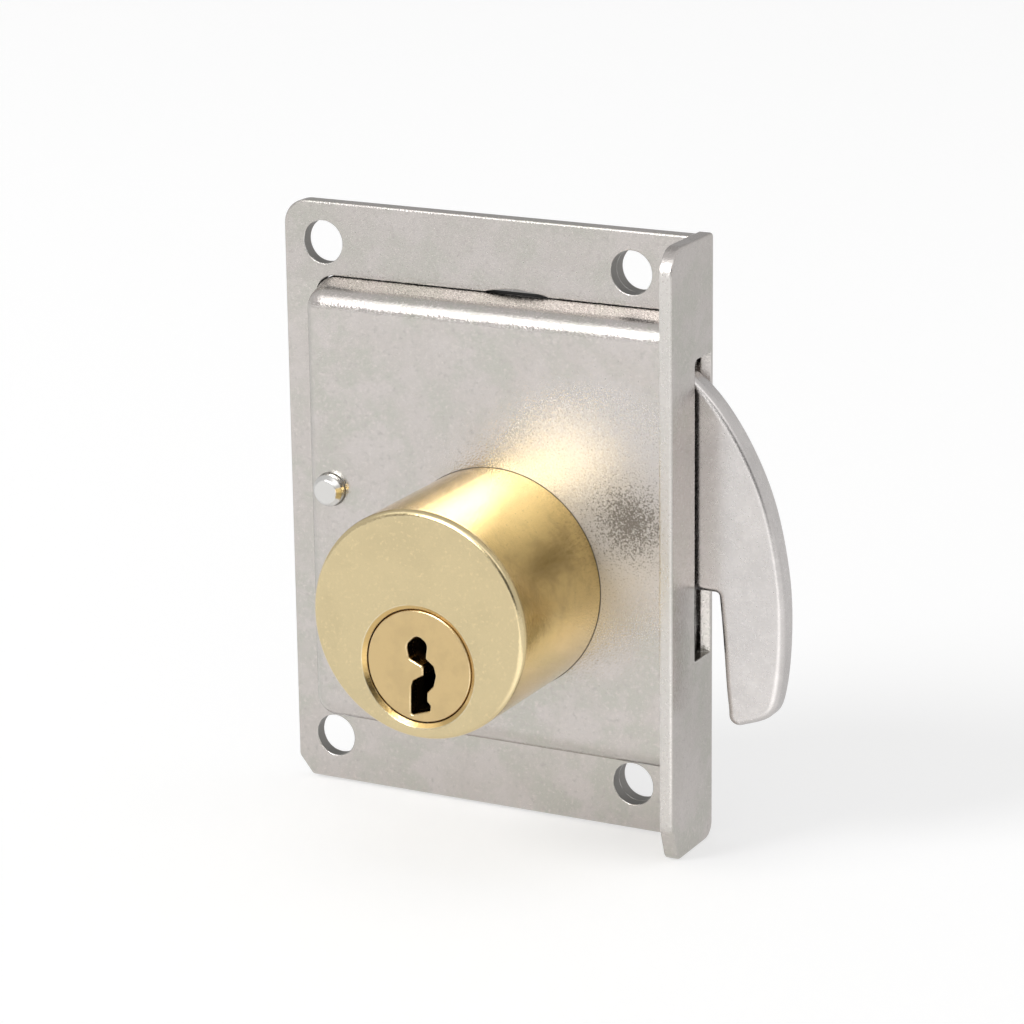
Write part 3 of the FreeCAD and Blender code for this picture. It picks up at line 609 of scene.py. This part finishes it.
class LOCK_OT_case(bpy.types.Operator):
    """Plate, forend, pressed case and back cover in satin nickel, and the stud"""

    bl_idname = "lock.case"
    bl_label = "Case"

    def execute(self, context):
        look = context.scene.lock_finish
        base = Vector(look.nickel)
        pink = base * 1.04
        pink.z *= 1.01
        green = Vector((base.x * 0.93, base.y * 0.965, base.z * 0.93))
        pale = Vector((0.69, 0.665, 0.635))
        nickel = metal(
            "satin_nickel", tuple(base), look.nickel_rough,
            patches=((tuple(green), 7.0, 0.42, 0.58), (tuple(pink), 5.0, 0.48, 0.62),
                     (tuple(base * 1.09), 0.45, 0.54, 0.70), (tuple(base * 0.90), 0.7, 0.56, 0.72)),
            grain_height=0.035, edge=(0.97, 0.95, 0.92), edge_size=0.22, matt=painted_glint_area,
            # The pale area and the bright and dark specks are painted reflection of the barrel.
            zones=((painted_glint_area, (0.74, 0.72, 0.725), 0.3), (pan_wall_painted_shade, tuple(base * 0.66), 0.3),
                   (painted_highlight_specks, (0.93, 0.92, 0.92), 0.3),
                   (painted_dark_reflection_specks, (0.25, 0.23, 0.21), 0.4),
                   (hole_walls_raw_and_shaded, (0.29, 0.28, 0.265), 0.5),
                   (window_gap_painted_shade, (0.02, 0.018, 0.016), 0.6),
                   (flange_strip, tuple(pale), 0.34), (joint_ring_painted_shade, (0.05, 0.04, 0.03), 0.5)))
        dress(nickel, "satin_nickel", "face_plate", "forend", "case_pan", "back_cover")
        bright = metal("bright_nickel", (0.70, 0.69, 0.67), 0.17, grain_height=0.004,
                       edge=(0.95, 0.94, 0.92), edge_size=0.2)
        dress(bright, "bright_nickel", "stud_post")
        return {"FINISHED"}


class LOCK_OT_hook(bpy.types.Operator):
    """Hook bolt, pinion, posts and other steel work"""

    bl_idname = "lock.hook"
    bl_label = "Hook and works"

    def execute(self, context):
        look = context.scene.lock_finish
        base = Vector(look.hook)
        steel = metal("hook_steel", tuple(base), 0.27, rough_spread=0.01, grain=0.7,
                      patches=((tuple(base * 0.93), 5.0, 0.42, 0.65),
                               (tuple(base * 1.05), 1.5, 0.5, 0.7)),
                      edge=(0.88, 0.87, 0.85), edge_size=0.3, wave_height=0.012,
                      grain_height=0.002)
        dress(steel, "hook_steel", "hook_bolt", "drive_pinion")
        zinc = metal("zinc_steel", (0.58, 0.59, 0.61), 0.26,
                     patches=(((0.50, 0.51, 0.54), 2.0, 0.45, 0.6),),
                     edge=(0.8, 0.8, 0.8), edge_size=0.1)
        dress(zinc, "zinc_steel", "cover_post", "hook_pivot_post", "hook_washer", "stop_pin",
              "pinion_screw", "cylinder_screws", "spring_anchor_post")
        spring = metal("spring_steel", (0.42, 0.42, 0.44), 0.24,
                       patches=(((0.34, 0.34, 0.37), 1.0, 0.45, 0.6),), grain_height=0.003)
        dress(spring, "spring_steel", "plug_clip", "detent_spring")
        low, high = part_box("cover_screws")
        places = []
        for post in ("stud_post", "cover_post", "hook_pivot_post"):
            near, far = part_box(post)
            places.append(((near[0] + far[0]) / 2, high[1], (near[2] + far[2]) / 2))
        tree = screw_tree(2.15 * MM, 1.23 * MM, high[1] - low[1], zinc)
        screws = tree.make("cover_screws_turned", places, turned=[0.35, 1.2, -0.6])
        shade(screws, 30)
        stand_in(screws, "cover_screws", "case")
        spots, foot, top, radius = row("driver_springs", 5)
        wire = 0.175 * MM
        tree = spring_tree(top - foot - 2 * wire, radius - wire, wire, 7.0, spring)
        springs = tree.make("driver_springs_wound", [(x, y, foot + wire) for x, y in spots])
        shade(springs, 60)
        stand_in(springs, "driver_springs", "case")
        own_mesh(springs)
        return {"FINISHED"}


class LOCK_OT_barrel(bpy.types.Operator):
    """Brass key barrel, plug and pins"""

    bl_idname = "lock.barrel"
    bl_label = "Key barrel"

    def execute(self, context):
        look = context.scene.lock_finish
        base = Vector(look.brass)
        brass = metal(
            "barrel_brass", tuple(base), look.brass_rough,
            patches=((tuple(base * 0.94), 6.0, 0.45, 0.65), (tuple(base * 1.10), 0.35, 0.56, 0.70)),
            grain=0.35, grain_height=0.012, wave=2.4, wave_height=0.035,
            edge=(1.0, 0.95, 0.80), edge_size=0.2, rim_tint=(1.0, 0.92, 0.75), coat=0.6,
            zones=((barrel_side, (0.74, 0.535, 0.195), look.brass_rough),
                   (barrel_low_painted_reflection, (0.84, 0.69, 0.38), look.brass_rough),
                   (barrel_stains_and_dark_reflection, (0.34, 0.235, 0.075), 0.28),
                   (plug_ring_painted_reflection, (0.60, 0.40, 0.14), 0.2), (barrel_foot_painted_shade, (0.06, 0.045, 0.02), 0.5)))
        dress(brass, "barrel_brass", "cylinder_body")
        plain = metal("plain_brass", tuple(base * 0.97), 0.24, edge=(0.9, 0.8, 0.55),
                      edge_size=0.08)
        plug_colour = Vector(look.plug)
        plug = metal(
            "plug_brass", tuple(plug_colour), look.brass_rough + 0.03,
            patches=((tuple(plug_colour * 0.93), 3.0, 0.45, 0.62),),
            grain=0.25, grain_height=0.004, edge=(0.95, 0.85, 0.6), edge_size=0.18,
            zones=((plug_rim_painted_shade, (0.26, 0.14, 0.035), 0.3), (keyway_painted_shade, (0.02, 0.012, 0.006), 0.5)))
        dress(plug, "plug_brass", "cylinder_plug")
        pins = metal("pin_brass", tuple(plug_colour), 0.22, edge=(0.9, 0.8, 0.5), edge_size=0.06)
        spots, foot, top, radius = row("chamber_plugs", 5)
        tree = pin_tree("chamber_plugs", radius, 0.15 * MM, radius - 0.1 * MM, plain)
        plugs = tree.make("chamber_plugs_pressed", [(x, y, foot) for x, y in spots],
                          tall=[top - foot] * 5)
        shade(plugs, 30)
        stand_in(plugs, "chamber_plugs", "case")
        spots, foot, top, radius = row("driver_pins", 5)
        tree = pin_tree("driver_pins", radius, 0.2 * MM, radius - 0.2 * MM, pins)
        drivers = tree.make("driver_pins_turned", [(x, y, foot) for x, y in spots],
                            tall=[top - foot] * 5)
        shade(drivers, 30)
        stand_in(drivers, "driver_pins", "driver_pin_set")
        spots, foot, top, radius = row("key_pins", 5)
        tips = [0.3 * MM, 0.9 * MM, 0.0, 0.6 * MM, 1.2 * MM]
        tree = pin_tree("key_pins", radius, 0.8 * MM, 0.4 * MM, pins)
        keys = tree.make("key_pins_turned",
                         [(x, y, foot + rise) for (x, y), rise in zip(spots, tips)],
                         tall=[top - foot - rise for rise in tips])
        shade(keys, 30)
        stand_in(keys, "key_pins", "key_pin_set")
        return {"FINISHED"}


def area_light(name, spot, size, power):
    light = bpy.data.lights.new(name, "AREA")
    light.shape = "DISK"
    light.size = size
    light.energy = power
    obj = bpy.data.objects.new(name, light)
    bpy.context.scene.collection.objects.link(obj)
    obj.location = spot
    obj.rotation_euler = (-Vector(spot)).to_track_quat("-Z", "Y").to_euler()
    obj.visible_glossy = False
    return obj


def seen_directly(tree):
    """1 for rays that come from the camera, a mirror or glass."""
    path = tree.nodes.new("ShaderNodeLightPath")
    clear = calc(tree, "MAXIMUM", path.outputs["Is Glossy Ray"],
                 path.outputs["Is Transmission Ray"])
    return path.outputs["Is Camera Ray"], clear


def make_floor(glow_level):
    mesh = bpy.data.meshes.new("floor")
    half = 3.0
    z = FLOOR_Z * MM
    mesh.from_pydata([(-half, -half, z), (half, -half, z), (half, half, z), (-half, half, z)],
                     [], [(0, 1, 2, 3)])
    floor = bpy.data.objects.new("floor", mesh)
    bpy.context.scene.collection.objects.link(floor)
    mat, tree, shader = new_material("floor_white")
    shader.inputs["Base Color"].default_value = (0.50, 0.50, 0.50, 1)
    shader.inputs["Roughness"].default_value = 0.9
    shader.inputs["Specular IOR Level"].default_value = 0.1
    camera, clear = seen_directly(tree)
    # Seen in mirrors the floor's glow is painted light: it fades from front to back and is brighter
    # in a pool to the front right.
    front = remap(tree, along(tree, "Y"), -40.0, 60.0, glow_level, 0.6 * glow_level)
    right = calc(tree, "MULTIPLY", remap(tree, along(tree, "X"), 15.0, 35.0, 0.0, 0.65),
                 remap(tree, along(tree, "X"), 60.0, 74.0, 1.0, 0.0))
    right = calc(tree, "MULTIPLY", right, remap(tree, along(tree, "Y"), -30.0, -15.0, 1.0, 0.0))
    front = calc(tree, "ADD", front, right)
    lift = calc(tree, "ADD", calc(tree, "MULTIPLY", camera, glow_level),
                calc(tree, "MULTIPLY", clear, front))
    glow = tree.nodes.new("ShaderNodeEmission")
    glow.inputs["Color"].default_value = (1, 1, 1, 1)
    tree.links.new(lift, glow.inputs["Strength"])
    both = tree.nodes.new("ShaderNodeAddShader")
    tree.links.new(shader.outputs["BSDF"], both.inputs[0])
    tree.links.new(glow.outputs["Emission"], both.inputs[1])
    tree.links.new(both.outputs["Shader"], tree.nodes["Material Output"].inputs["Surface"])
    mesh.materials.append(mat)
    return floor


def lobe(tree, ray, aim, inner, outer, level):
    """A round patch of light in a direction, or of shade where the level is below zero."""
    near = vector(tree, "DOT_PRODUCT", ray, Vector(aim).normalized(), "Value")
    return remap(tree, near, math.cos(math.radians(outer)), math.cos(math.radians(inner)),
                 0.0, level, smooth=True)


def overhead_band(tree, ray, level):
    """A long softbox overhead, in front, that runs from left to right."""
    split = tree.nodes.new("ShaderNodeSeparateXYZ")
    tree.links.new(ray, split.inputs[0])
    forward = calc(tree, "MULTIPLY", split.outputs["Y"], -1.0)
    rise = calc(tree, "ARCTAN2", split.outputs["Z"], forward)
    start = remap(tree, rise, math.radians(34), math.radians(46), smooth=True)
    end = remap(tree, rise, math.radians(56), math.radians(66), 1.0, 0.0, smooth=True)
    side = remap(tree, calc(tree, "ABSOLUTE", split.outputs["X"]), 0.65, 0.85, level, 0.0,
                 smooth=True)
    return calc(tree, "MULTIPLY", calc(tree, "MULTIPLY", start, end), side)


def make_world(strength):
    """White studio: even light for matt surfaces, softboxes and one dark flag for metal."""
    world = bpy.data.worlds.new("studio")
    bpy.context.scene.world = world
    world.use_nodes = True
    tree = world.node_tree
    tree.nodes.clear()
    out = tree.nodes.new("ShaderNodeOutputWorld")
    back = tree.nodes.new("ShaderNodeBackground")
    tree.links.new(back.outputs["Background"], out.inputs["Surface"])
    ray = tree.nodes.new("ShaderNodeTexCoord").outputs["Generated"]
    studio = STUDIO_LEVEL
    for patch in STUDIO_PATCHES:
        studio = calc(tree, "ADD", studio, lobe(tree, ray, *patch))
    studio = calc(tree, "ADD", studio, overhead_band(tree, ray, OVERHEAD_LEVEL))
    camera, clear = seen_directly(tree)
    level = calc(tree, "MULTIPLY", calc(tree, "SUBTRACT", studio, strength), clear)
    level = calc(tree, "ADD", level, strength)
    lift = calc(tree, "MULTIPLY", camera, 1.0 - strength)
    level = calc(tree, "ADD", level, lift)
    tree.links.new(level, back.inputs["Strength"])


def make_camera(lens):
    data = bpy.data.cameras.new("camera")
    data.lens = lens
    data.sensor_width = 36
    data.clip_start = 0.01
    data.clip_end = 10
    camera = bpy.data.objects.new("camera", data)
    bpy.context.scene.collection.objects.link(camera)
    right = Vector((0.889276, 0.457208, -0.012184))
    up = Vector((-0.117869, 0.254834, 0.959774))
    back = Vector((0.441921, -0.852068, 0.280509))
    turn = Matrix((right, up, back)).transposed()
    camera.matrix_world = Matrix.Translation((0.1966, -0.37072, 0.12266)) @ turn.to_4x4()
    bpy.context.scene.camera = camera
    return camera


class LOCK_OT_stage(bpy.types.Operator):
    """Floor, world, soft lights and the camera"""

    bl_idname = "lock.stage"
    bl_label = "Stage"

    def execute(self, context):
        setup = context.scene.lock_stage
        context.scene.view_settings.view_transform = "Standard"
        floor = make_floor(setup.floor_glow)
        make_world(setup.world)
        key = area_light("key_light", (-1.1, -1.35, 1.35), 1.0, setup.key)
        top = area_light("top_light", (0.2, 0.1, 2.0), 1.2, setup.top)
        make_camera(setup.lens)
        return {"FINISHED"}


class LOCK_PT_panel(bpy.types.Panel):
    """Lists the steps that build the lock"""

    bl_idname = "LOCK_PT_panel"
    bl_label = "Furniture Lock"
    bl_space_type = "VIEW_3D"
    bl_region_type = "UI"
    bl_category = "Lock"

    def draw(self, context):
        for group in (context.scene.lock_finish, context.scene.lock_stage):
            for name in group.__annotations__:
                self.layout.prop(group, name)
        for step in STEPS:
            self.layout.operator(step.bl_idname)


STEPS = (LOCK_OT_case, LOCK_OT_hook, LOCK_OT_barrel, LOCK_OT_stage)
CLASSES = (LockFinish, LockStage, *STEPS, LOCK_PT_panel)


def register():
    for item in CLASSES:
        bpy.utils.register_class(item)
    bpy.types.Scene.lock_finish = bpy.props.PointerProperty(type=LockFinish)
    bpy.types.Scene.lock_stage = bpy.props.PointerProperty(type=LockStage)


def unregister():
    del bpy.types.Scene.lock_stage
    del bpy.types.Scene.lock_finish
    for item in reversed(CLASSES):
        bpy.utils.unregister_class(item)


def main():
    register()
    bpy.ops.lock.case()
    bpy.ops.lock.hook()
    bpy.ops.lock.barrel()
    bpy.ops.lock.stage()


if __name__ == "__main__":
    main()
